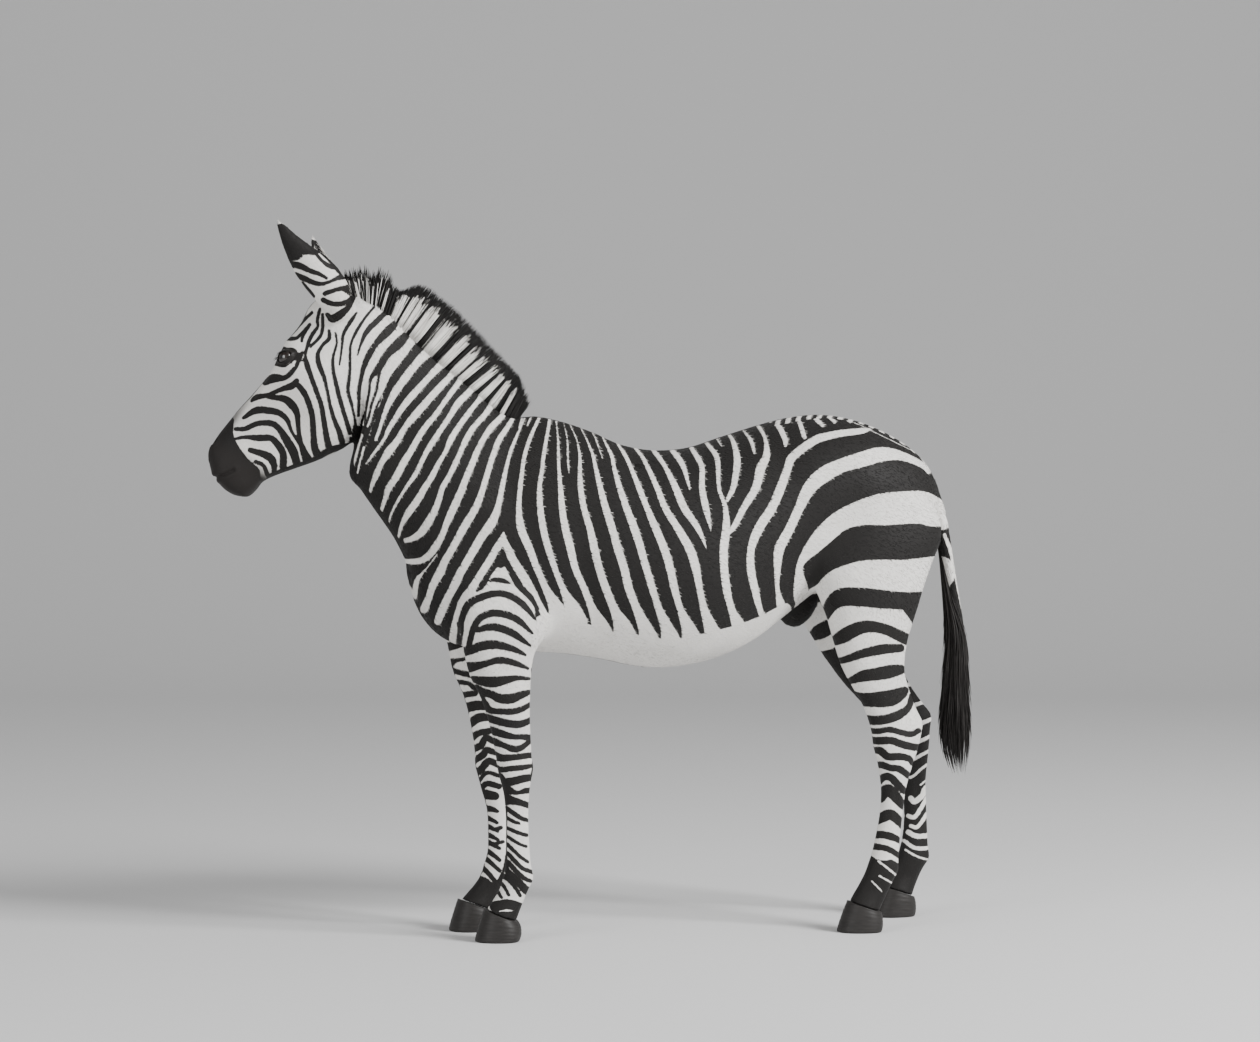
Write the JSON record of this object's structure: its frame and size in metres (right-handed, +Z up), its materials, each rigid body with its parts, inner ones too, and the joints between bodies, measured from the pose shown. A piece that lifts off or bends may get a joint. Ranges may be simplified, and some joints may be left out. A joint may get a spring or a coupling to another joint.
{
  "type": "zebra",
  "caption": "Life-size still mountain zebra standing on level ground, coat boldly striped, head turned slightly to its right, mane upright and tail hanging.",
  "frame": {"origin": "middle of the bounding box's base, on the level the hooves stand on", "axes": "-X the way the animal's body faces, -Y its left side, +Z up"},
  "size_m": [1.9313, 0.48, 1.746],
  "materials": {
    "coat": "short hair lying flat, black stripes on off-white",
    "long_hair": "coarse upright and hanging hair",
    "bare_skin": "dark bare skin",
    "horn": "worn horn, low sheen",
    "eye": "wet, dark brown"
  },
  "bodies": {
    "root": {"head": "coat", "neck": "coat", "trunk": "coat", "fore_leg_left": "coat", "fore_leg_right": "coat", "hind_leg_left": "coat", "hind_leg_right": "coat", "ear_left": "coat", "ear_right": "coat", "mane": "long_hair", "tail": "coat", "tail_brush": "long_hair", "sheath": "bare_skin", "eye_left": "eye", "eye_right": "eye", "fore_hoof_left": "horn", "fore_hoof_right": "horn", "hind_hoof_left": "horn", "hind_hoof_right": "horn"}
  },
  "joints": []
}
